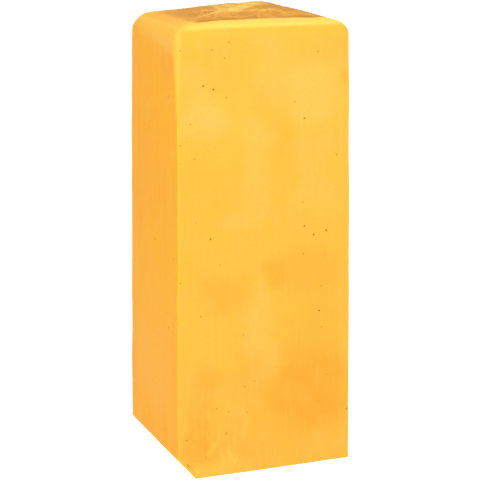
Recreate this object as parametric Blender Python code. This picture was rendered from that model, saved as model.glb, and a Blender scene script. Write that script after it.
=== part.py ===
# Sharp cheddar: a five pound loaf standing on its cut end.
#
# One solid. The foot is a flat cut with crisp edges. The four walls lean in and turn a little,
# as a soft heavy block does when it has stood, and low down the front left upright edge leans
# out to the left. The upper end keeps the shape of the folded film that it was pressed in: a
# rounded rim, four panels that rise to a peak behind and right of the middle, and four fold lines
# that run from the corners and meet near the middle. A slanting cut has shaved off the foot's
# left edge, more of it at the front than at the back.
#
# Metres, +Z up, the front towards -Y. The origin is the middle of the foot.

import math

import bmesh
import bpy
from mathutils import Matrix, Vector

# Driving dimensions
FRONT_WIDTH = 0.095             # the foot, left to right
SIDE_DEPTH = 0.095              # the foot, front to back
CORNER_HEIGHT = 0.2335          # from the foot to where sharp top corners would be
WIDTH_TAPER = 0.045             # share of the width lost from the foot to the top
DEPTH_TAPER = 0.018
TWIST = math.radians(-2.56)     # the top against the foot, seen from above

# Walls and their upright edges
WALL_SWELL = 0.0003             # fuller between the edges
EDGE_RADIUS = 0.0016
EDGE_OPENING = 0.045            # under the rim, an edge changes to its radius there over this height
FRONT_LEFT_LEAN = 0.00175       # how far the front left edge leans out to the left at the foot
LEAN_START = 0.155              # the height that the lean grows from
LEAN_SPAN = 0.130               # over this height

# Film folded end
PEAK = Vector((0.0115, 0.0125))   # seen from above, like the next two places
FOLD_MEETING = Vector((-0.003, -0.003))
DIP_PLACE = Vector((-0.002, -0.010))
PEAK_RISE = 0.0066              # above the sharp corners
PANEL_FULLNESS = 1.5            # 1 is a flat panel
PANEL_MEETING = 9               # the higher, the crisper the line between two panels
DIP_DEPTH = 0.0014              # the panels sag a little before the place where the folds meet
DIP_WIDTH = 0.011
FOLD_HEIGHT = 0.0007            # the fold lines stand proud of the panels
FOLD_WIDTH = 0.0016
FOLD_RUN_OUT = 0.15             # share of a fold line over which it rises from the rim
BACK_LEFT_DROP = 0.0015         # that corner sits lower than the other three
TOP_CORNERS = {                 # side in x and y: radius over the rim, radius of the upright edge
    (1, -1): (0.0048, 0.0030),
    (1, 1): (0.0060, 0.0040),
    (-1, 1): (0.0074, 0.0030),
    (-1, -1): (0.0070, 0.0055),
}
CORNERS = list(TOP_CORNERS)     # anticlockwise from the front right

# Shaved left edge of the foot: how far the cut reaches from its two corners
TRIM_ALONG_FRONT = 0.0094
TRIM_UP_FRONT_EDGE = 0.0112
TRIM_UP_BACK_EDGE = 0.0032

# Mesh
WALL_ROWS = 25
EDGE_FACES = 8                  # round one upright edge
WALL_FACES = 9                  # across one wall
RIM_FACES = 7
LID_FACES = 11
CREASE_ANGLE = math.radians(35)
MERGE_DISTANCE = 0.00002

CHEDDAR_COLOUR = (0.92, 0.43, 0.055, 1.0)


def clear_scene():
    for thing in list(bpy.data.objects):
        bpy.data.objects.remove(thing, do_unlink=True)


def cheddar_material():
    material = bpy.data.materials.new("cheddar")
    material.use_nodes = True
    shader = material.node_tree.nodes["Principled BSDF"]
    shader.inputs["Base Color"].default_value = CHEDDAR_COLOUR
    shader.inputs["Roughness"].default_value = 0.45
    shader.inputs["Metallic"].default_value = 0.0
    return material


def ease(value):
    value = min(max(value, 0.0), 1.0)
    return value * value * (3 - 2 * value)


def blend(start, end, share):
    return start + (end - start) * share


def half_sizes(height):
    """Half the width and half the depth of the walls at a height."""
    share = height / CORNER_HEIGHT
    return (FRONT_WIDTH / 2 * (1 - WIDTH_TAPER * share),
            SIDE_DEPTH / 2 * (1 - DEPTH_TAPER * share))


def edge_point(index, turn, height, inset=0):
    """A point on an upright edge's curve, and the way it faces. turn runs from 0 to 1."""
    corner = CORNERS[index % 4]
    rim, top_radius = TOP_CORNERS[corner]
    opening = ease(1 - (CORNER_HEIGHT - rim - height) / EDGE_OPENING)
    radius = blend(EDGE_RADIUS, top_radius, opening)
    half_x, half_y = half_sizes(height)
    centre = Vector((corner[0] * (half_x - inset - radius), corner[1] * (half_y - inset - radius)))
    if corner == (-1, -1):
        centre.x -= FRONT_LEFT_LEAN * ease((LEAN_START - height) / LEAN_SPAN)
    angle = math.radians(90) * (index % 4 - 1 + turn)
    facing = Vector((math.cos(angle), math.sin(angle)))
    return centre + facing * radius, facing


def wall_point(index, turn, along, height, inset=0):
    """A point on the walls: on the curve of an upright edge, or along the wall after it."""
    place, facing = edge_point(index, turn, height, inset)
    if along > 0:
        place = place.lerp(edge_point(index + 1, 0, height, inset)[0], along)
        place += facing * WALL_SWELL * math.sin(math.pi * along)
    return place


def fold_height(place, half_x, half_y):
    """How far the nearest fold line lifts the panels at a place."""
    lift = 0
    for side_x, side_y in CORNERS:
        line = Vector((side_x * half_x, side_y * half_y)) - FOLD_MEETING
        reach = place - FOLD_MEETING
        along = reach.dot(line) / line.length_squared
        aside = (reach - line * max(along, 0)).length
        run_out = ease((1 - along) / FOLD_RUN_OUT)
        lift = max(lift, FOLD_HEIGHT * math.exp(-(aside / FOLD_WIDTH) ** 2) * run_out)
    return lift


def lid_height(place):
    """Height of the four panels and their fold lines over a place inside the rim."""
    half_x, half_y = half_sizes(CORNER_HEIGHT)
    across, deep = place - PEAK
    across = abs(across) / (half_x - math.copysign(PEAK.x, across))
    deep = abs(deep) / (half_y - math.copysign(PEAK.y, deep))
    reach = (across ** PANEL_MEETING + deep ** PANEL_MEETING) ** (1 / PANEL_MEETING)
    drop = BACK_LEFT_DROP * (half_x - place.x) * (half_y + place.y) / (4 * half_x * half_y)
    dip = DIP_DEPTH * math.exp(-((place - DIP_PLACE).length / DIP_WIDTH) ** 2)
    panels = CORNER_HEIGHT - drop - dip + PEAK_RISE * (1 - reach ** PANEL_FULLNESS)
    return panels + fold_height(place, half_x, half_y)


def column(index, turn, along):
    """The line from the foot up a wall, over the rim and in to the last ring of the lid."""
    near, far = (TOP_CORNERS[CORNERS[(index + step) % 4]][0] for step in range(2))
    rim = blend(near, far, ease(along))
    rim_start = CORNER_HEIGHT - rim
    wall_top = lid_height(wall_point(index, turn, along, rim_start)) - rim
    points = []
    for row in range(WALL_ROWS):
        height = wall_top * row / WALL_ROWS
        points.append((*wall_point(index, turn, along, height), height))

    for row in range(RIM_FACES + 1):
        roll = math.radians(90) * row / RIM_FACES
        place = wall_point(index, turn, along, rim_start, inset=rim * (1 - math.cos(roll)))
        points.append((*place, lid_height(place) - rim * (1 - math.sin(roll))))

    rim_end = place
    for row in range(1, LID_FACES):
        place = rim_end.lerp(FOLD_MEETING, row / LID_FACES)
        points.append((*place, lid_height(place)))
    return points


def twisted(point):
    """The point turned about the upright axis, more the further it is from mid height."""
    point = Vector(point)
    turn = TWIST * (point.z / CORNER_HEIGHT - 0.5)
    return Matrix.Rotation(turn, 3, "Z") @ point


def loaf_mesh():
    """The whole loaf before trimming: a foot, rings of faces, and a fan where the folds meet."""
    columns = []
    for index in range(4):
        columns += [column(index, step / EDGE_FACES, 0) for step in range(EDGE_FACES + 1)]
        columns += [column(index, 1, step / WALL_FACES) for step in range(1, WALL_FACES)]

    mesh = bmesh.new()
    rings = [[mesh.verts.new(twisted(point)) for point in ring] for ring in zip(*columns)]
    mesh.faces.new(reversed(rings[0]))
    for lower, upper in zip(rings, rings[1:]):
        for near in range(len(lower)):
            far = (near + 1) % len(lower)
            mesh.faces.new((lower[near], lower[far], upper[far], upper[near]))

    middle = mesh.verts.new(twisted((*FOLD_MEETING, lid_height(FOLD_MEETING))))
    last = rings[-1]
    for near in range(len(last)):
        mesh.faces.new((last[near], last[(near + 1) % len(last)], middle))
    return mesh


def trim_foot(mesh):
    """Shave the foot's left edge off and close the cut with one flat face."""
    half_x, half_y = half_sizes(0)
    left_x = -half_x - FRONT_LEFT_LEAN
    on_front = twisted((left_x + TRIM_ALONG_FRONT, -half_y, 0))
    up_front = twisted((left_x, -half_y, TRIM_UP_FRONT_EDGE))
    up_back = twisted((-half_x, half_y, TRIM_UP_BACK_EDGE))
    facing = (up_front - on_front).cross(up_back - on_front).normalized()
    everything = mesh.verts[:] + mesh.edges[:] + mesh.faces[:]
    cut = bmesh.ops.bisect_plane(mesh, geom=everything, dist=MERGE_DISTANCE, plane_co=on_front,
                                 plane_no=facing, clear_outer=True)
    rim = [item for item in cut["geom_cut"] if isinstance(item, bmesh.types.BMEdge)]
    bmesh.ops.edgenet_fill(mesh, edges=rim)


def make_loaf():
    mesh = loaf_mesh()
    trim_foot(mesh)
    bmesh.ops.remove_doubles(mesh, verts=mesh.verts, dist=MERGE_DISTANCE)
    bmesh.ops.recalc_face_normals(mesh, faces=mesh.faces)
    low = [min(vert.co[axis] for vert in mesh.verts) for axis in range(2)]
    high = [max(vert.co[axis] for vert in mesh.verts) for axis in range(2)]
    centre = Vector(((low[0] + high[0]) / 2, (low[1] + high[1]) / 2, 0))
    bmesh.ops.translate(mesh, verts=mesh.verts, vec=-centre)

    data = bpy.data.meshes.new("cheddar_loaf")
    mesh.to_mesh(data)
    mesh.free()
    data.shade_smooth()
    data.set_sharp_from_angle(angle=CREASE_ANGLE)
    data.materials.append(cheddar_material())
    loaf = bpy.data.objects.new("cheddar_loaf", data)
    bpy.context.scene.collection.objects.link(loaf)


clear_scene()
make_loaf()
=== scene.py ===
# Sharp cheddar loaf: surface, floor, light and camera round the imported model.
import math
import random

import bmesh
import bpy
from mathutils import Matrix, Vector, noise
from mathutils.kdtree import KDTree


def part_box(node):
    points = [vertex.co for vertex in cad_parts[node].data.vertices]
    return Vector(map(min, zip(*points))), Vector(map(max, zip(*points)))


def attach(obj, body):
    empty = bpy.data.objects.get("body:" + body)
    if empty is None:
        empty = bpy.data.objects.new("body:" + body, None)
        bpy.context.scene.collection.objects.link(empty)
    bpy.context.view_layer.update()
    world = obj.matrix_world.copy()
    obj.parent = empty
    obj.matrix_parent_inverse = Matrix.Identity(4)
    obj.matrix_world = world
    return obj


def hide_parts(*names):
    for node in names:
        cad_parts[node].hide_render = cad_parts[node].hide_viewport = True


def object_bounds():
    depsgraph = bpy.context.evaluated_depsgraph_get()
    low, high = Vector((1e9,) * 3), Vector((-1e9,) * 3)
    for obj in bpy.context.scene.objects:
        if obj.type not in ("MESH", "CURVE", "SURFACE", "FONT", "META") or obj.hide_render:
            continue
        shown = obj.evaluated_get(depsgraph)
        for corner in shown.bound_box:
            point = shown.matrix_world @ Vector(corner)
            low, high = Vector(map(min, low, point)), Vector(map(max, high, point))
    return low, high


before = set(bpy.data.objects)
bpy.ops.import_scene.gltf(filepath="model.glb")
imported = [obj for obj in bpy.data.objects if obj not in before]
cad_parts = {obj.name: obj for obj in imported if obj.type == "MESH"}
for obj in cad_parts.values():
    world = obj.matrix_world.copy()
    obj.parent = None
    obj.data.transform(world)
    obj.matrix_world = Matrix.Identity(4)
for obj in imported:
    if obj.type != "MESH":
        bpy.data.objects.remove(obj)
cadLow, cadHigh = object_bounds()
mm = 0.001

loafSettings = {
    "node": "cheddar_loaf",
    "faceSize": 2.3 * mm,        # about the size of a face of the even grid
    "edgeReach": 3 * mm,         # this close to an upright edge the grid is three times as fine
    "rimReach": 14 * mm,         # and four times as fine this far down from the peak
    "keepCrisp": 1.6 * mm,       # no smoothing this close to the foot and its shaved edge
    "smoothing": 3,
    "mergeReach": 0.01 * mm,     # the solid's loose facets are joined over this distance
    "cutAngle": math.radians(25),    # its edges sharper than this stay sharp
    "mouldLevels": 2,
    "shadeAngle": math.radians(38),
}


def selectOnly(piece):
    bpy.ops.object.select_all(action="DESELECT")
    piece.select_set(True)
    bpy.context.view_layer.objects.active = piece


def editMesh(piece):
    # in edit mode with nothing selected, and the mesh to select in
    selectOnly(piece)
    bpy.ops.object.mode_set(mode="EDIT")
    bpy.ops.mesh.select_all(action="DESELECT")
    return bmesh.from_edit_mesh(piece.data)


def finishEdit():
    bpy.ops.object.mode_set(mode="OBJECT")


def applyAll(piece):
    selectOnly(piece)
    for modifier in list(piece.modifiers):
        bpy.ops.object.modifier_apply(modifier=modifier.name)


def ease(value):
    value = min(max(value, 0.0), 1.0)
    return value * value * (3 - 2 * value)


# The grid: a box round the CAD solid, cut into even faces and wrapped onto the solid's shape

def makeMould(node, settings):
    # the solid's facets melted into one surface, with the cut edges of the foot kept
    mould = bpy.data.objects.new("mould", node.data.copy())
    bpy.context.scene.collection.objects.link(mould)
    editMesh(mould)
    bpy.ops.mesh.select_all(action="SELECT")
    bpy.ops.mesh.remove_doubles(threshold=settings["mergeReach"])
    bpy.ops.mesh.tris_convert_to_quads()
    bpy.ops.mesh.select_all(action="DESELECT")
    bpy.ops.mesh.select_mode(type="EDGE")
    bpy.ops.mesh.edges_select_sharp(sharpness=settings["cutAngle"])
    bpy.ops.transform.edge_crease(value=1)
    finishEdit()
    rounding = mould.modifiers.new("rounding", "SUBSURF")
    rounding.levels = rounding.render_levels = settings["mouldLevels"]
    applyAll(mould)
    return mould


def cutAlong(piece, axis, cuts):
    # twice over, because one subdivide makes at most a hundred cuts
    for again in range(2):
        mesh = editMesh(piece)
        bpy.ops.mesh.select_mode(type="EDGE")
        for edge in mesh.edges:
            way = (edge.verts[1].co - edge.verts[0].co).normalized()
            edge.select = abs(way[axis]) > 0.99
        bmesh.update_edit_mesh(piece.data)
        bpy.ops.mesh.subdivide(number_cuts=cuts)
        finishEdit()


def selectFaces(piece, chosen):
    # into edit mode with the chosen faces selected
    mesh = editMesh(piece)
    bpy.ops.mesh.select_mode(type="FACE")
    for face in mesh.faces:
        face.select = chosen(face)
    bmesh.update_edit_mesh(piece.data)


def refineWhere(piece, chosen, cuts):
    selectFaces(piece, lambda face: chosen(face.calc_center_median()))
    bpy.ops.mesh.subdivide(number_cuts=cuts)
    finishEdit()


def shavedPlane(node):
    # the one sloping flat of the foot: the largest face that looks down and aside
    faces = [face for face in node.data.polygons if -0.95 < face.normal.z < -0.3]
    widest = max(faces, key=lambda face: face.area)
    return Vector(widest.center), Vector(widest.normal)


def makeLoaf(settings):
    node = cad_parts[settings["node"]]
    low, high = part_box(settings["node"])
    size = high - low
    bpy.ops.object.select_all(action="DESELECT")
    bpy.ops.mesh.primitive_cube_add(size=1, location=(low + high) / 2, scale=size)
    loaf = bpy.context.object
    loaf.name = "cheddar"
    bpy.ops.object.transform_apply(location=True, rotation=True, scale=True)
    for axis in range(3):
        cutAlong(loaf, axis, round(math.sqrt(size[axis] / settings["faceSize"])) - 1)

    rimStart = high.z - settings["rimReach"]
    reach = settings["edgeReach"]
    refineWhere(loaf, lambda place: place.z > rimStart, 3)
    refineWhere(loaf, lambda place: low.z < place.z < rimStart
                and min(high.x - place.x, place.x - low.x) < reach
                and min(high.y - place.y, place.y - low.y) < reach, 2)

    place, facing = shavedPlane(node)
    editMesh(loaf)
    bpy.ops.mesh.select_all(action="SELECT")
    bpy.ops.mesh.bisect(plane_co=place, plane_no=facing, clear_outer=True, use_fill=True)
    finishEdit()

    mould = makeMould(node, settings)
    wrap = loaf.modifiers.new("wrap", "SHRINKWRAP")
    wrap.target = mould
    wrap.wrap_method = "NEAREST_SURFACEPOINT"
    applyAll(loaf)
    bpy.data.objects.remove(mould, do_unlink=True)

    mesh = editMesh(loaf)
    bpy.ops.mesh.select_mode(type="VERT")
    for vert in mesh.verts:
        inside = (place - vert.co).dot(facing)
        vert.select = min(vert.co.z, inside) > settings["keepCrisp"]
    mesh.select_flush_mode()
    bmesh.update_edit_mesh(loaf.data)
    bpy.ops.mesh.vertices_smooth(factor=0.5, repeat=settings["smoothing"])
    finishEdit()
    print("grid:", len(loaf.data.polygons), "faces")
    return loaf


loaf = makeLoaf(loafSettings)


# Relief: soft humps on the walls, folds and film wrinkles on the upper end

unevenSettings = {
    "humps": {34: 0.36, 11: 0.14, 4.5: 0.05},    # size of a hump: how far it stands out, in mm
    "footEase": 16 * mm,                         # the humps die out towards the flat foot
}

foldSettings = {
    # places on the upper end, in mm right of the loaf's middle and back from it
    "places": {
        "leftEnd": (-36, -15), "frontLeft": (-31.5, -24.5), "bend": (-23.5, -22.5),
        "meeting": (-11, -12), "crook": (-3, -9), "ridge": (16, 5), "bendRight": (7, -11),
        "frontRight": (33, -36), "backRight": (37, 38), "backLeft": (-37, 36),
        "flapStart": (-5, -12.5), "flapEnd": (25, -30), "tuckStart": (9, -21), "tuckEnd": (22, -28),
        "crown": (-5, 12), "crownBack": (-11, 20),
    },
    # from, to, height and width in mm
    "folds": (
        ("leftEnd", "frontLeft", 0.24, 2.2), ("frontLeft", "bend", 0.40, 1.7),
        ("bend", "meeting", 0.40, 1.6), ("meeting", "crook", 0.20, 1.0),
        ("crook", "ridge", 0.20, 1.2), ("ridge", "backRight", 0.15, 1.4),
        ("crook", "bendRight", 0.26, 1.2), ("bendRight", "frontRight", 0.34, 1.2),
        ("backLeft", "meeting", 0.20, 1.2), ("flapStart", "flapEnd", -0.32, 1.0),
        ("tuckStart", "tuckEnd", 0.22, 0.9),
    ),
    "runOut": 0.12,              # share of a fold over which it rises
    "tallFold": 0.42,            # a fold of this height in mm gets its full painted highlight, a hollow this deep its full painted shade
    "crownReach": 13,            # the loaf rises a little more round this place
    "crownRise": 0.5,
    # the curd is paler behind these lines, up to this far away
    "crownLines": (("crownBack", "meeting"), ("meeting", "crook"), ("crook", "ridge")),
    "crownFade": 52,
    "crownSharp": 1.6,
    "wrinkles": 90,              # short creases that run more or less towards the meeting place
    "wrinkleReach": 40,
    "wrinkleTurn": 0.35,
    "wrinkleLength": (6, 22),
    "wrinkleHeight": (0.09, 0.24),
    "wrinkleWidth": (0.5, 0.9),
    "seed": 5,
}

rimSettings = {
    "turn": math.radians(-1.28),     # the upper end against the model's axes
    "halfWidth": 45.4 * mm,
    "halfDepth": 46.7 * mm,
    "wallTop": 227.5 * mm,           # the rim starts here on the walls
    "paleFrom": 0.60,                # its highlight is painted where it faces up more than this
    "paleOver": 0.30,
    "narrowFrom": 18,                # this far from the middle, in mm, the front rim gets narrower
    "narrowOver": 14,
    "narrowBy": 2.5,
    # way to a wall: how far in from it the rim ends, over how far it fades, how strong its painted
    # highlight is, and how much of a hollow, with its painted shade, follows it
    "sides": {
        (0, -1): (13.5, 3.2, 1.0, 1.0), (1, 0): (3.0, 2.0, 0.8, 0.5),
        (0, 1): (10.0, 5.0, 0.6, 0.3), (-1, 0): (12.5, 9.0, 0.20, 0.0),
    },
    "bead": 0.15,                    # in mm: the rim stands up a little where it ends
    "beadWidth": 2.4,
    "gutter": 0.40,
    "gutterInset": 2.5,
    "gutterWidth": 2.2,
    "gutterGap": (5, 14),            # it nearly runs out round here, right of the middle, in mm
    "gutterGapShare": 0.85,
    "foldsFrom": 0.5,                # the folds start this far inside the rim, in mm
    "foldsOver": 4,
}


def vertexGroup(piece, name, weights):
    group = piece.vertex_groups.new(name=name)
    for index, weight in enumerate(weights):
        if weight > 0.001:
            group.add([index], weight, "REPLACE")
    return group


def addHumps(loaf, settings):
    weights = [ease(vert.co.z / settings["footEase"]) for vert in loaf.data.vertices]
    group = vertexGroup(loaf, "uneven", weights)
    for size, height in settings["humps"].items():
        clouds = bpy.data.textures.new("humps", "CLOUDS")
        clouds.noise_scale = size * mm
        clouds.noise_depth = 1
        push = loaf.modifiers.new("push", "DISPLACE")
        push.texture = clouds
        push.texture_coords = "LOCAL"
        push.strength = 2 * height * mm
        push.mid_level = 0.5
        push.vertex_group = group.name
    applyAll(loaf)
    loaf.vertex_groups.clear()
    print("humps:", len(settings["humps"]), "sizes")


def planFolds(settings):
    # every fold and wrinkle as start, end, height and width
    places = {name: Vector(place) for name, place in settings["places"].items()}
    folds = [(places[start], places[end], height, width)
             for start, end, height, width in settings["folds"]]
    rand = random.Random(settings["seed"])
    reach = settings["wrinkleReach"]
    for index in range(settings["wrinkles"]):
        start = Vector((rand.uniform(-reach, reach), rand.uniform(-reach, reach)))
        way = (places["meeting"] - start).normalized()
        way.rotate(Matrix.Rotation(rand.gauss(0, settings["wrinkleTurn"]), 2))
        end = start + way * rand.uniform(*settings["wrinkleLength"])
        height = rand.uniform(*settings["wrinkleHeight"]) * rand.choice((1, 1, -1))
        folds.append((start, end, height, rand.uniform(*settings["wrinkleWidth"])))
    return folds


def foldHeight(place, folds, runOut):
    lift = 0
    for start, end, height, width in folds:
        line = end - start
        along = (place - start).dot(line) / line.length_squared
        if -0.1 < along < 1.1:
            aside = (place - start - line * along).length
            if aside < 3 * width:
                ends = ease(min(along, 1 - along) / runOut + 0.5)
                lift += height * math.exp(-(aside / width) ** 2) * ends
    return lift


def hill(distance, width):
    return math.exp(-(distance / width) ** 2)


def insets(vert, rim):
    # how far in from each wall a place on the upper end lies, in mm
    place = vert.co.xy.copy()
    place.rotate(Matrix.Rotation(-rim["turn"], 2))
    half = Vector((rim["halfWidth"], rim["halfDepth"]))
    inset = {way: (abs(half.dot(way)) - place.dot(way)) / mm for way in rim["sides"]}
    narrow = ease((abs(place.x) / mm - rim["narrowFrom"]) / rim["narrowOver"])
    inset[0, -1] += rim["narrowBy"] * narrow
    return inset


def lidMask(vert, rim):
    # 1 on the folded end inside the rim, where its brown goes: partly its own, partly painted shade
    if vert.co.z < rim["wallTop"]:
        return 0
    inset = insets(vert, rim)
    return min(ease((inset[way] - width) / fade + 0.5)
               for way, (width, fade, pale, hollow) in rim["sides"].items())


def rimHighlightMask(vert, rim):
    # painted highlight: most on the rim above the front wall, fading down the walls
    if vert.co.z < rim["wallTop"]:
        return 0
    near = {way: 1 / max(distance, 0.5) ** 2 for way, distance in insets(vert, rim).items()}
    pale = sum(near[way] * rim["sides"][way][2] for way in near) / sum(near.values())
    up = ease((vert.normal.z - rim["paleFrom"]) / rim["paleOver"])
    return pale * up * (1 - lidMask(vert, rim))


def paint(piece, name, values):
    layer = piece.data.attributes.new(name, "FLOAT", "POINT")
    layer.data.foreach_set("value", values)


def pushOut(piece, name, heights, direction):
    # the heights may be negative, so hollows get a modifier of their own
    for sign in (1, -1):
        most = max(sign * height for height in heights)
        if most <= 0:
            continue
        group = vertexGroup(piece, name, [sign * height / most for height in heights])
        push = piece.modifiers.new(name, "DISPLACE")
        push.direction = direction
        push.mid_level = 0
        push.strength = sign * most
        push.vertex_group = group.name
        applyAll(piece)
        piece.vertex_groups.clear()


def behind(place, start, end):
    # how far a place lies behind a line that runs to the right, in mm
    way = (end - start).normalized()
    return way.x * (place.y - start.y) - way.y * (place.x - start.x)


def crownMask(place, settings):
    # 1 behind all the lines near the meeting of the folds
    places = {name: Vector(each) for name, each in settings["places"].items()}
    past = min(behind(place, places[start], places[end]) for start, end in settings["crownLines"])
    away = (place - places["meeting"]).length
    return ease(past / settings["crownSharp"] + 0.5) * ease(2 - 2 * away / settings["crownFade"])


def foldLid(loaf, settings, rim):
    folds = planFolds(settings)
    crown = Vector(settings["places"]["crown"])
    gap, gapReach = rim["gutterGap"]
    heights, folded, gutter, crowned = [], [], [], []
    for vert in loaf.data.vertices:
        height = fold = hollow = paler = 0
        if vert.co.z > rim["wallTop"]:
            place = vert.co.xy / mm
            inset = insets(vert, rim)
            past, nearest = min((inset[way] - rim["sides"][way][0], way) for way in inset)
            share = rim["sides"][nearest][3]
            inside = ease((past - rim["foldsFrom"]) / rim["foldsOver"])
            fold = foldHeight(place, folds, settings["runOut"]) * inside
            # the gutter behind the rim: a hollow with painted shade in it
            hollow = hill(past - rim["gutterInset"], rim["gutterWidth"]) * share
            hollow *= 1 - rim["gutterGapShare"] * hill(place.x - gap, gapReach)
            bead = rim["bead"] * hill(past + rim["beadWidth"], rim["beadWidth"]) * share
            rise = settings["crownRise"] * hill((place - crown).length, settings["crownReach"])
            height = (fold + bead + rise - hollow * rim["gutter"]) * mm
            paler = crownMask(place, settings)
        heights.append(height)
        folded.append(min(max(fold / settings["tallFold"], -1), 1))
        gutter.append(hollow)
        crowned.append(paler)
    # the folded end's brown: partly its own colour, partly painted shade
    paint(loaf, "lidShade", [lidMask(vert, rim) for vert in loaf.data.vertices])
    # painted highlight on the rim
    paint(loaf, "rimHighlight", [rimHighlightMask(vert, rim) for vert in loaf.data.vertices])
    # painted highlight on the fold crests, painted shade in their hollows
    paint(loaf, "foldLightAndShade", folded)
    # painted shade in the gutter behind the rim
    paint(loaf, "gutterShadow", gutter)
    paint(loaf, "crownShade", crowned)
    pushOut(loaf, "folds", heights, "Z")
    print("folds:", len(folds))


# Painted highlights: along the upright edges, and painted light on the left wall under its rim

edgeSettings = {
    # a place belongs to an upright edge once it faces both walls this much, and fully after
    # this much more
    "low": (0.30, 0.60),
    "high": (0.72, 0.28),        # where the edges open under the rim
    "highSide": (0.03, 0.28),    # and there on the half beside the left or right wall
    "topStart": 185 * mm,
    "topReach": 30 * mm,
    # the left wall gets painted light, as if lit from above, above this height in mm at its front,
    # and above a greater height further back
    "leftPaleFrom": 214.5,
    "leftPaleRise": 0.11,
    "leftPaleOver": 8,
    "leftPale": 0.85,
    "leftFacing": (0.3, 0.4),    # where it faces left more than this, and fully after this more
}


def edgeHighlightMask(vert, settings):
    # 1 on an upright edge, whose both walls the place faces: there the highlight is painted
    across, deep = abs(vert.normal.x), abs(vert.normal.y)
    top = ease((vert.co.z - settings["topStart"]) / settings["topReach"])
    high = settings["highSide" if across > deep else "high"]
    start, over = Vector(settings["low"]).lerp(Vector(high), top)
    return ease((2 * across * deep - start) / over)


def leftLightMask(vert, settings):
    # painted light from above: most on the left wall under its rim
    back = (vert.co.y - cadLow.y) / mm
    line = settings["leftPaleFrom"] + settings["leftPaleRise"] * back
    high = ease((vert.co.z / mm - line) / settings["leftPaleOver"])
    start, over = settings["leftFacing"]
    return high * ease((-vert.normal.x - start) / over) * settings["leftPale"]


def paintEdgeHighlights(loaf, settings):
    shades = [max(edgeHighlightMask(vert, settings), leftLightMask(vert, settings))
              for vert in loaf.data.vertices]
    paint(loaf, "edgeAndLeftHighlight", shades)
    print("edges painted")


paintEdgeHighlights(loaf, edgeSettings)
foldLid(loaf, foldSettings, rimSettings)
addHumps(loaf, unevenSettings)


# Creases the film left low on the front wall, nicks, and the torn skin at the shaved corner

creaseSettings = {
    # on the front wall, from and to, in mm right of its middle and up from the foot; then how far
    # the line stands out and its width in mm, and how pale it is or, below zero, how much painted
    # shade it has
    "lines": {
        "leftCrease": (-28.3, 18.2, -31.3, 12.2, 0.10, 1.8, 0.6),
        "middleCrease": (-20.6, 12.8, -17.3, 6.5, 0.10, 1.4, 0.55),
        "lowCrease": (-24.5, 11.5, -23.4, 6.0, 0.08, 1.1, 0.6),
        "highNick": (36.6, 168.2, 38.8, 166.9, -0.30, 0.35, -0.45),
        "lowNick": (40.8, 165.8, 42.2, 164.4, -0.25, 0.35, -0.40),
        "tear": (-45.0, 9.9, -41.5, 6.6, -0.40, 0.46, -0.75),
        "tearEnd": (-41.1, 6.0, -39.7, 4.2, -0.30, 0.44, -0.6),
        "tornSkin": (-39.4, 5.6, -38.2, 2.8, 0.30, 0.75, 0.50),
        "tornFoot": (-37.8, 4.4, -36.9, 1.6, 0.22, 0.80, 1.0),
    },
    "fan": 40,                   # shorter creases that spread upwards from under the foot
    "fanFrom": (-24, -14),
    "fanReach": (18, 52),
    "fanSpread": 0.75,           # radians to each side
    "fanTurn": 0.12,
    "fanLimits": (-42, 2),       # none starts further left or lower than this
    "fanLength": (3.5, 9),
    "fanHeight": (0.03, 0.09),
    "fanWidth": (0.75, 1.35),
    "fanPale": (0.15, 0.45),
    "fine": 1.9,                 # the grid is five times as fine this close to a line, in mm
    "frontDepth": 6 * mm,        # what lies this far behind the front belongs to the front wall
    "seed": 8,
}


def planCreases(settings):
    # every line as start, end, height, width and paleness
    lines = [(Vector(line[:2]), Vector(line[2:4]), *line[4:])
             for line in settings["lines"].values()]
    rand = random.Random(settings["seed"])
    leftmost, lowest = settings["fanLimits"]
    for index in range(settings["fan"]):
        way = Vector((0, 1))
        way.rotate(Matrix.Rotation(rand.uniform(-1, 1) * settings["fanSpread"], 2))
        start = Vector(settings["fanFrom"]) + way * rand.uniform(*settings["fanReach"])
        way.rotate(Matrix.Rotation(rand.gauss(0, settings["fanTurn"]), 2))
        end = start + way * rand.uniform(*settings["fanLength"])
        if start.x > leftmost and start.y > lowest:
            lines.append((start, end, rand.uniform(*settings["fanHeight"]),
                          rand.uniform(*settings["fanWidth"]), rand.uniform(*settings["fanPale"])))
    return lines


def fromLine(place, start, end):
    # how far a place lies from a line, which thins out towards its ends
    line = end - start
    along = min(max((place - start).dot(line) / line.length_squared, 0), 1)
    return (place - start - line * along).length


def creaseFront(loaf, settings):
    lines = planCreases(settings)

    def isFront(place):
        return place.y < cadLow.y + settings["frontDepth"]

    refineWhere(loaf, lambda centre: isFront(centre) and any(
        fromLine(centre.xz / mm, start, end) < settings["fine"]
        for start, end, *rest in lines), 4)
    heights, shades = [], []
    for vert in loaf.data.vertices:
        height = shade = 0
        if isFront(vert.co) and vert.normal.y < -0.5:
            for start, end, rise, width, pale in lines:
                near = hill(fromLine(vert.co.xz / mm, start, end), width)
                height += rise * near
                shade += pale * near
        heights.append(height * mm)
        shades.append(min(max(shade, -1), 1))
    paint(loaf, "creaseShade", shades)
    pushOut(loaf, "creases", heights, "NORMAL")
    print("creases:", len(lines))


creaseFront(loaf, creaseSettings)


# Patches: where the curd of a wall is warmer or paler

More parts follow.
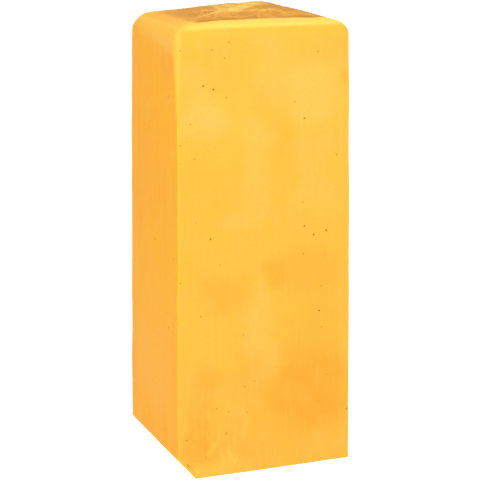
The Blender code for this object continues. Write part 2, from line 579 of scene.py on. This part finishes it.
patchSettings = {
    # right of the wall's middle and up from the foot, half width and half height in mm, then how
    # warm and how pale the curd is there
    "front": {
        "highLeftPale": (-33, 190, 11, 9, -0.15, 0.80),
        "highRightPale": (24, 201, 14, 14, -0.15, 0.65),
        "highMiddleTan": (1, 210, 9, 18, 0.20, 0.45),
        "highRightSpot": (39, 207, 4, 4, 0.35, -0.60),
        "highRightTan": (34, 217, 10, 9, 0.20, 0.12),
        "highLeftGrey": (-38, 207, 5, 9, 0.10, 0.35),
        "highMiddleWarm": (-2, 196, 4, 9, 0.22, -0.10),
        "upperRightWarm": (6, 176, 4, 11, 0.24, -0.20),
        "upperRightOlive": (12, 160, 6, 9, 0.00, -0.35),
        "middleRightGrey": (34, 140, 8, 12, 0.06, 0.22),
        "middleWarmSpot": (4, 106, 5, 7, 0.28, -0.30),
        "lowerRightOlive": (17, 86, 7, 12, -0.12, -0.10),
        "highLeftSpots": (-30, 216, 9, 8, 0.18, 0.10),
        "upperMiddlePale": (-10, 181, 9, 7, 0.05, 0.34),
        "middleStripTan": (-4, 160, 8, 21, 0.12, 0.42),
        "upperLeftOlive": (-29, 150, 17, 22, 0.05, -0.25),
        "upperRightTan": (23, 161, 12, 25, 0.15, 0.30),
        "middlePaleCurl": (-15, 137, 11, 5, 0.00, 0.40),
        "middleLeftSpot": (-39, 113, 6, 5, 0.05, -0.60),
        "middleLeftWarm": (-24, 99, 14, 10, 0.45, 0.00),
        "middleRightWarm": (24, 106, 20, 13, 0.42, 0.00),
        "lowerStripPale": (-2, 81, 6, 25, -0.10, 0.42),
        "lowerLeftOlive": (-30, 76, 15, 14, -0.15, -0.05),
        "lowerRightWarm": (27, 82, 16, 9, 0.18, -0.10),
        "lowerRightDeep": (25, 43, 21, 24, 0.85, -0.10),
        "lowerLeftTan": (-34, 48, 9, 12, 0.55, 0.10),
        "lowerPaleSpot": (-20, 49, 5, 7, 0.25, 0.10),
        "lowerMiddleTan": (-7, 47, 8, 17, 0.52, 0.20),
        "footLeftDeep": (-37, 22, 8, 14, 0.75, 0.00),
        "footMiddlePale": (-14, 14, 16, 13, 0.46, 0.12),
        "footRightPale": (30, 9, 14, 7, 0.26, 0.16),
        "footEdgePale": (-25, 3, 15, 5, -0.22, 0.22),
    },
    # back of the wall's middle and up from the foot
    "left": {
        # painted light: paler under the rim, where the left wall is lit from above
        "underRimLight": (0, 233, 40, 7, -0.20, 0.36),
        "highFrontDeep": (-27, 217, 13, 8, 0.34, -0.30),
        "upperWarm": (-4, 168, 38, 58, 0.00, -0.26),
        "backStripWarm": (32, 150, 8, 62, 0.16, 0.00),
        "frontStripLight": (-34, 130, 6, 90, -0.12, 0.00),
        "middleLight": (0, 95, 40, 34, -0.26, -0.06),
        "lowerBackPale": (4, 48, 30, 22, -0.16, 0.14),
        "lowerFrontTan": (-24, 62, 12, 22, 0.05, 0.10),
        "footTan": (-5, 13, 38, 12, -0.12, -0.22),
    },
    "scattered": 18,             # patches on each hidden wall
    "scatteredAcross": (-42, 42),
    "scatteredUp": (5, 225),
    "scatteredHalf": (6, 20),
    "scatteredTall": (0.8, 1.8),
    "scatteredWarm": (0.14, 0.28),   # most often, and how much that varies
    "scatteredPale": (0.18, 0.28),
    "edgeFrom": 1.5,                 # a patch fades from its middle to its edge: where it ends, in
    "edgeOver": 1.0,                 # half widths, and over how much it fades
    "roundness": 2.6,                # 2 is an ellipse
    "facing": (0.4, 0.5),            # a place gets a wall's patches once it faces its way this much
    "sideFacing": (0.45, 0.45),
    "ragged": {16: 5.0, 5: 1.8},     # how the edges of the patches wander: size and reach, in mm
    "seed": 3,
}


def scatterPatches(settings, rand):
    patches = []
    for index in range(settings["scattered"]):
        half = rand.uniform(*settings["scatteredHalf"])
        patches.append((
            rand.uniform(*settings["scatteredAcross"]), rand.uniform(*settings["scatteredUp"]),
            half, half * rand.uniform(*settings["scatteredTall"]),
            rand.gauss(*settings["scatteredWarm"]), rand.gauss(*settings["scatteredPale"])))
    return patches


def patchWeight(place, patch, settings):
    # 1 well inside a patch with round corners, 0 well outside it
    across = abs(place.x - patch[0]) / patch[2]
    up = abs(place.y - patch[1]) / patch[3]
    power = settings["roundness"]
    away = (across ** power + up ** power) ** (1 / power)
    return ease((settings["edgeFrom"] - away) / settings["edgeOver"])


def paintPatches(loaf, settings):
    rand = random.Random(settings["seed"])
    noise.seed_set(settings["seed"])     # without it noise_vector differs from run to run
    walls = {
        "front": (Vector((0, -1, 0)), list(settings["front"].values())),
        "left": (Vector((-1, 0, 0)), list(settings["left"].values())),
        "right": (Vector((1, 0, 0)), scatterPatches(settings, rand)),
        "back": (Vector((0, 1, 0)), scatterPatches(settings, rand)),
    }
    start, over = settings["facing"]
    sideStart, sideOver = settings["sideFacing"]
    warm, pale, side = [], [], []
    for vert in loaf.data.vertices:
        warmth = paleness = 0
        drift = Vector()
        for size, reach in settings["ragged"].items():
            drift += noise.noise_vector(vert.co / (size * mm)) * reach
        for facing, patches in walls.values():
            share = ease((vert.normal.dot(facing) - start) / over)
            if share > 0:
                across = vert.co.x if facing.x == 0 else vert.co.y
                place = Vector((across / mm + drift.x + drift.y, vert.co.z / mm + drift.z))
                for patch in patches:
                    weight = patchWeight(place, patch, settings) * share
                    warmth += patch[4] * weight
                    paleness += patch[5] * weight
        warm.append(warmth)
        pale.append(paleness)
        # painted shade on the walls that face left or right
        side.append(ease((abs(vert.normal.x) - sideStart) / sideOver))
    paint(loaf, "warmShade", warm)
    paint(loaf, "paleShade", pale)
    paint(loaf, "sidePaintedShade", side)
    print("patches:", sum(len(patches) for facing, patches in walls.values()))


paintPatches(loaf, patchSettings)


# The camera's place, which also tells where a pixel of the picture lies on the loaf

cameraSettings = {
    "azimuth": math.radians(-18.741),     # from the front towards the left wall
    "elevation": math.radians(13.793),
    "distance": 0.78480,
    "aimRight": 0.00190,                  # of the loaf's axis, along the picture
    "aimHeight": 0.11378,
    "focalLength": 108.75,                # millimetres
    "sensorWidth": 36.0,
    "picture": 480,                       # pixels along each side of the picture
}


def backward(azimuth, elevation):
    # from what is looked at towards the one who looks
    return Vector((math.sin(azimuth) * math.cos(elevation),
                   -math.cos(azimuth) * math.cos(elevation), math.sin(elevation)))


def cameraPlace(settings):
    # where the camera stands, and the ways to the right and back from it
    azimuth = settings["azimuth"]
    right = Vector((math.cos(azimuth), math.sin(azimuth), 0))
    back = backward(azimuth, settings["elevation"])
    aim = right * settings["aimRight"] + Vector((0, 0, settings["aimHeight"]))
    return aim + back * settings["distance"], right, back


def pixelRay(pixel, settings):
    # from the camera through a pixel, counted right and down from the picture's upper left corner
    eye, right, back = cameraPlace(settings)
    middle = settings["picture"] / 2
    pixelSize = settings["sensorWidth"] / settings["focalLength"] / settings["picture"]
    aside = right * (pixel[0] - middle) * pixelSize
    above = back.cross(right) * (middle - pixel[1]) * pixelSize
    return eye, (aside + above - back).normalized()


# Pits: tiny openings in the curd, with painted shade inside them

pitSettings = {
    # where the picture shows one: pixels right and down from its upper left corner
    "clear": (
        (203.3, 86.2), (213.5, 89.6), (304.7, 118.4), (304.7, 226), (326.3, 230.2), (313.7, 234.6),
        (210.7, 239.3), (319.3, 310.7), (346.8, 408.5),
    ),
    "faint": (
        (228.8, 42.2), (212, 50), (318.2, 51.2), (224.7, 58), (226.3, 97.8), (294.8, 101.8),
        (190.5, 124.6), (180.3, 146), (336.9, 154.8), (194.3, 159), (180, 164), (303, 202),
        (196.3, 223), (303.4, 253.6), (324.6, 254.3), (220.2, 265), (180.3, 283.5), (321.4, 286),
        (200.8, 316.8), (321.7, 326.6), (243.7, 335), (326.3, 374.4), (254.8, 381),
        (244.6, 386.7), (319, 401), (216.7, 408.5), (228.5, 412), (247.2, 412.3),
        (226.3, 433.3), (186.8, 440.4), (206, 457.4),
    ),
    "clearRadius": 0.69,         # in mm
    "faintRadius": 0.43,
    "scattered": {0.62: 24, 0.42: 60, 0.30: 60},      # radius: how many, on the other walls
    "scatteredFrom": 6 * mm,     # none of those lies lower than this
    "depth": 0.8,                # as a share of the radius
    "steep": 0.6,                # share of the radius over which the wall of a pit falls
    # before a pit is pressed in, the grid round it is halved again and again: how far round it, in
    # radii and in mm, and how long the edges of a face that is small enough may be
    "refine": ((2.0, 1.3, 1.2), (2.0, 0.8, 0.6), (1.6, 0.35, 0.3)),
    "seed": 11,
}


def planPits(loaf, settings):
    # every pit as its place and radius: the front wall has its own, and the foot none
    pits = []
    for name in ("clear", "faint"):
        for pixel in settings[name]:
            hit = loaf.ray_cast(*pixelRay(pixel, cameraSettings))
            pits.append((hit[1], settings[name + "Radius"]))
    rand = random.Random(settings["seed"])
    faces = [face for face in loaf.data.polygons
             if face.normal.y > -0.9 and face.normal.z > -0.2
             and face.center.z > settings["scatteredFrom"]]
    weights = [face.area for face in faces]
    for radius, count in settings["scattered"].items():
        pits += [(Vector(face.center), radius) for face in rand.choices(faces, weights, k=count)]
    return pits


def makePits(loaf, settings):
    pits = planPits(loaf, settings)
    tree = KDTree(len(pits))
    for index, (place, radius) in enumerate(pits):
        tree.insert(place, index)
    tree.balance()

    for radii, extra, size in settings["refine"]:
        def isClose(face):
            nearest, index, away = tree.find(face.calc_center_median())
            return away / mm < pits[index][1] * radii + extra

        def isCoarse(face):
            return max(edge.calc_length() for edge in face.edges) > size * mm

        # a face with more than four sides gets no point in its middle, so those are split first
        selectFaces(loaf, lambda face: len(face.verts) > 4 and isClose(face))
        bpy.ops.mesh.quads_convert_to_tris()
        finishEdit()
        selectFaces(loaf, lambda face: isCoarse(face) and isClose(face))
        bpy.ops.mesh.subdivide(number_cuts=1)
        finishEdit()

    heights, shades = [], []
    for vert in loaf.data.vertices:
        nearest, index, away = tree.find(vert.co)
        radius = pits[index][1]
        inside = ease((1 - away / mm / radius) / settings["steep"])
        heights.append(-inside * radius * settings["depth"] * mm)
        shades.append(inside)
    # painted shade inside each pit
    paint(loaf, "pitShadow", shades)
    pushOut(loaf, "pits", heights, "NORMAL")
    print("pits:", len(pits))


makePits(loaf, pitSettings)

selectOnly(loaf)
bpy.ops.object.shade_smooth_by_angle(angle=loafSettings["shadeAngle"])
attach(loaf, "root")
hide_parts(loafSettings["node"])
print("loaf:", len(loaf.data.polygons), "faces")


# The cheese: a coloured curd, mottled and a little translucent

cheeseSettings = {
    "curd": (0.965, 0.440, 0.050),
    "warm": (0.96, 0.345, 0.032),
    "pale": (0.96, 0.470, 0.088),
    "side": (0.98, 0.432, 0.012),          # painted shade: the deeper orange of the walls beside the front
    # painted highlight along the upright edges, lower down and higher up
    "edge": (0.95, 0.535, 0.034),
    "edgeHighlightTop": (0.97, 0.552, 0.084),
    # painted highlight on the rim of the upper end
    "rim": (0.98, 0.620, 0.113),
    "film": (0.62, 0.275, 0.046),          # the folded end: partly the brown the film pressed into it, partly painted shade of its dim top
    "filmTan": (0.78, 0.370, 0.070),
    # painted shade in the gutter behind the rim and in the hollows of the folds
    "gutter": (0.45, 0.190, 0.026),
    # painted highlight on the crests of the folds
    "fold": (0.86, 0.500, 0.115),
    "crown": (0.87, 0.590, 0.135),
    "crease": (0.96, 0.520, 0.080),
    # painted shade in the tear and the nicks
    "crackShadow": (0.46, 0.190, 0.008),
    # painted shade inside the pits
    "pit": (0.36, 0.190, 0.002),
    # how warm the curd is, by height: share of the way up, amount
    "tones": ((0.0, 0.30), (0.25, 0.25), (0.45, 0.18), (0.70, 0.15), (0.88, 0.11), (1.0, 0.14)),
    "roughness": 0.46,
    "specular": 0.02,
    "glow": 0.12,                          # subsurface weight
    "glowRadius": (1.0, 0.35, 0.10),
    "glowScale": 2.0 * mm,
    "refraction": 1.42,
    "bumpStrength": 0.35,
    "bumpDepth": 0.25 * mm,
    # how fine each pattern is, and its detail
    "clouds": (26, 2),
    "patches": (95, 3),
    "grain": (850, 3),
    "streaks": (560, 2),
    "sideStreaks": (150, 2),
    "crumple": (170, 4),
    "crumpleRoughness": 0.6,
    "stretch": (1, 1, 0.07),               # the streaks run up the walls
    "warmHeight": 0.24,                    # the tones run up to here, in metres
    "highFrom": 0.17,                      # the painted highlight of the upright edges changes colour between these
    "highTo": 0.215,
}


class Shade:
    # a socket of a material's node tree: arithmetic on it adds Math nodes
    def __init__(self, tree, socket=None):
        self.tree = tree
        self.socket = socket

    def node(self, kind, settings, sockets, output=None):
        made = self.tree.nodes.new(kind)
        for name, value in settings.items():
            if name == "stops":
                made.color_ramp.elements.remove(made.color_ramp.elements[1])
                for place, amount in value:
                    if place > 0:
                        stop = made.color_ramp.elements.new(place)
                    else:
                        stop = made.color_ramp.elements[0]
                    stop.color = (amount, amount, amount, 1)
            else:
                setattr(made, name, value)
        for name, value in sockets.items():
            if isinstance(name, int):
                socket = made.inputs[name]
            else:
                socket = next(each for each in made.inputs if each.name == name and each.enabled)
            if isinstance(value, Shade):
                self.tree.links.new(value.socket, socket)
            else:
                socket.default_value = value
        if output is None:
            socket = next((each for each in made.outputs if each.enabled), None)
        else:
            socket = made.outputs[output]
        return Shade(self.tree, socket)

    def maths(self, operation, first, second):
        return self.node("ShaderNodeMath", {"operation": operation}, {0: first, 1: second})

    def __add__(self, other):
        return self.maths("ADD", self, other)

    def __radd__(self, other):
        return self.maths("ADD", other, self)

    def __sub__(self, other):
        return self.maths("SUBTRACT", self, other)

    def __rsub__(self, other):
        return self.maths("SUBTRACT", other, self)

    def __mul__(self, other):
        return self.maths("MULTIPLY", self, other)

    def __rmul__(self, other):
        return self.maths("MULTIPLY", other, self)

    def between(self, low, high):
        # 0 at low, 1 at high, with soft ends
        return self.node("ShaderNodeMapRange", {"interpolation_type": "SMOOTHSTEP"},
                         {"Value": self, "From Min": low, "From Max": high})

    def towards(self, other, amount):
        # this colour mixed towards another
        return self.node("ShaderNodeMix", {"data_type": "RGBA"},
                         {"Factor": amount, "A": self, "B": (*other, 1.0)})


def newMaterial(name):
    material = bpy.data.materials.new(name)
    material.use_nodes = True
    material.node_tree.nodes.clear()
    return material, Shade(material.node_tree)


def makeCheese(settings):
    material, start = newMaterial("cheddarCurd")
    place = start.node("ShaderNodeTexCoord", {}, {}, "Object")
    height = start.node("ShaderNodeSeparateXYZ", {}, {"Vector": place}, "Z")

    def pattern(name, where=place, roughness=0.5):
        scale, detail = settings[name]
        return start.node("ShaderNodeTexNoise", {}, {
            "Vector": where, "Scale": scale, "Detail": detail, "Roughness": roughness}, "Fac")

    def mask(name):
        return start.node("ShaderNodeAttribute", {"attribute_name": name}, {}, "Fac")

    upright = start.node("ShaderNodeMapping", {}, {"Vector": place, "Scale": settings["stretch"]})
    clouds = pattern("clouds")
    patches = pattern("patches")
    grain = pattern("grain")
    streaks = pattern("streaks", upright)
    sideStreaks = pattern("sideStreaks", upright)
    crumple = pattern("crumple", place, settings["crumpleRoughness"])

    band = (height + (clouds - 0.5) * 0.03).between(0, settings["warmHeight"])
    tone = start.node("ShaderNodeValToRGB", {"stops": settings["tones"]}, {"Fac": band}, "Color")
    warmth = tone + (clouds - 0.5) * 0.4 + (patches - 0.5) * 0.5 + mask("warmShade")
    paleness = 0.15 + (patches - 0.5) * 0.8 + mask("paleShade")
    warmth = warmth + (sideStreaks - 0.5) * mask("sidePaintedShade") * 0.8
    # painted shade: the walls beside the front turn a deeper orange
    curd = start.node("ShaderNodeMix", {"data_type": "RGBA"}, {
        "Factor": mask("sidePaintedShade") * 0.9,
        "A": (*settings["curd"], 1), "B": (*settings["side"], 1)})
    curd = curd.towards(settings["warm"], warmth)
    curd = curd.towards(settings["pale"], paleness)
    curd = curd.towards(settings["warm"], grain.between(0.45, 0.75) * 0.25)
    curd = curd.towards(settings["pale"], streaks.between(0.50, 0.70) * 0.22)
    # painted highlight along the upright edges, and painted light on the left wall under its rim
    high = height.between(settings["highFrom"], settings["highTo"])
    edge = mask("edgeAndLeftHighlight") * (0.50 + 0.30 * height.between(0.06, 0.12))
    curd = curd.towards(settings["edge"], edge * (1 - high))
    curd = curd.towards(settings["edgeHighlightTop"], mask("edgeAndLeftHighlight") * high * 0.8)
    # painted highlight on the rim
    curd = curd.towards(settings["rim"], mask("rimHighlight"))
    curd = curd.towards(settings["crease"], mask("creaseShade").between(0.1, 1.0) * 0.7)
    # painted shade in the tear and the nicks
    curd = curd.towards(settings["crackShadow"], (0 - mask("creaseShade")).between(0.1, 0.9))

    # the folded end: partly its own brown, partly painted shade
    curd = curd.towards(settings["film"], mask("lidShade") * 0.95)
    curd = curd.towards(settings["filmTan"], mask("lidShade") * crumple.between(0.42, 0.62) * 0.75)
    crownBreakup = 0.25 + 0.75 * crumple.between(0.35, 0.60)
    curd = curd.towards(settings["crown"], mask("crownShade") * crownBreakup)
    # painted shade in the gutter behind the rim
    curd = curd.towards(settings["gutter"], mask("gutterShadow") * 0.7)
    # painted highlight on the fold crests, painted shade in their hollows
    curd = curd.towards(settings["fold"], mask("foldLightAndShade").between(0.15, 0.9) * 0.85)
    curd = curd.towards(settings["gutter"], (0 - mask("foldLightAndShade")).between(0.10, 0.8) * 0.7)
    # painted shade inside the pits
    curd = curd.towards(settings["pit"], mask("pitShadow"))

    relief = grain * 0.5 + streaks * 0.35 + patches * 0.6 + crumple * mask("lidShade") * 1.5
    bump = start.node("ShaderNodeBump", {}, {
        "Strength": settings["bumpStrength"], "Distance": settings["bumpDepth"],
        "Height": relief}, "Normal")
    roughness = settings["roughness"] + (patches - 0.5) * 0.22 + (grain - 0.5) * 0.12
    surface = start.node("ShaderNodeBsdfPrincipled", {}, {
        "Base Color": curd, "Roughness": roughness, "Normal": bump,
        "IOR": settings["refraction"], "Specular IOR Level": settings["specular"],
        "Subsurface Weight": settings["glow"], "Subsurface Radius": settings["glowRadius"],
        "Subsurface Scale": settings["glowScale"]}, "BSDF")
    start.node("ShaderNodeOutputMaterial", {}, {"Surface": surface})
    return material


loaf.data.materials.clear()
loaf.data.materials.append(makeCheese(cheeseSettings))
print("material made")


# Floor, light and camera

studioSettings = {
    "floorSize": 14.0,
    "floorColour": (0.40, 0.40, 0.40),
    "floorGlow": 1.0,                      # the floor is a lit white table
    "surround": (0.33, 0.33, 0.34),
    # azimuth and elevation in degrees, distance and size in metres, watts
    "lamps": {
        "key": (-24, 46, 1.3, 0.7, 10.4),
        "fill": (38, 20, 1.6, 0.8, 3.1),
        "top": (0, 86, 1.2, 0.9, 4.4),
    },
    "aim": (0, 0, 0.12),
}

def makeStudio(settings):
    bpy.ops.object.select_all(action="DESELECT")
    bpy.ops.mesh.primitive_plane_add(size=settings["floorSize"], location=(0, 0, cadLow.z))
    floor = bpy.context.object
    floor.name = "floor"
    bpy.ops.object.transform_apply(location=True, rotation=True, scale=True)
    material, start = newMaterial("floorWhite")
    surface = start.node("ShaderNodeBsdfPrincipled", {}, {
        "Base Color": (*settings["floorColour"], 1), "Roughness": 0.9, "Specular IOR Level": 0.0,
        "Emission Color": (1, 1, 1, 1), "Emission Strength": settings["floorGlow"]}, "BSDF")
    start.node("ShaderNodeOutputMaterial", {}, {"Surface": surface})
    floor.data.materials.append(material)

    world = bpy.data.worlds.new("surround")
    bpy.context.scene.world = world
    world.use_nodes = True
    world.node_tree.nodes["Background"].inputs["Color"].default_value = (*settings["surround"], 1)

    for name, (azimuth, elevation, distance, size, watts) in settings["lamps"].items():
        back = backward(math.radians(azimuth), math.radians(elevation))
        bpy.ops.object.light_add(type="AREA", location=Vector(settings["aim"]) + back * distance,
                                 rotation=back.to_track_quat("Z", "Y").to_euler())
        lamp = bpy.context.object
        lamp.name = name
        lamp.data.size = size
        lamp.data.energy = watts
    print("studio:", len(settings["lamps"]), "lamps")


def makeCamera(settings):
    eye, right, back = cameraPlace(settings)
    bpy.ops.object.camera_add(location=eye, rotation=back.to_track_quat("Z", "Y").to_euler())
    camera = bpy.context.object
    camera.data.lens = settings["focalLength"]
    camera.data.sensor_width = settings["sensorWidth"]
    bpy.context.scene.camera = camera
    print("camera set")


makeStudio(studioSettings)
makeCamera(cameraSettings)

bpy.context.scene.view_settings.view_transform = "Standard"
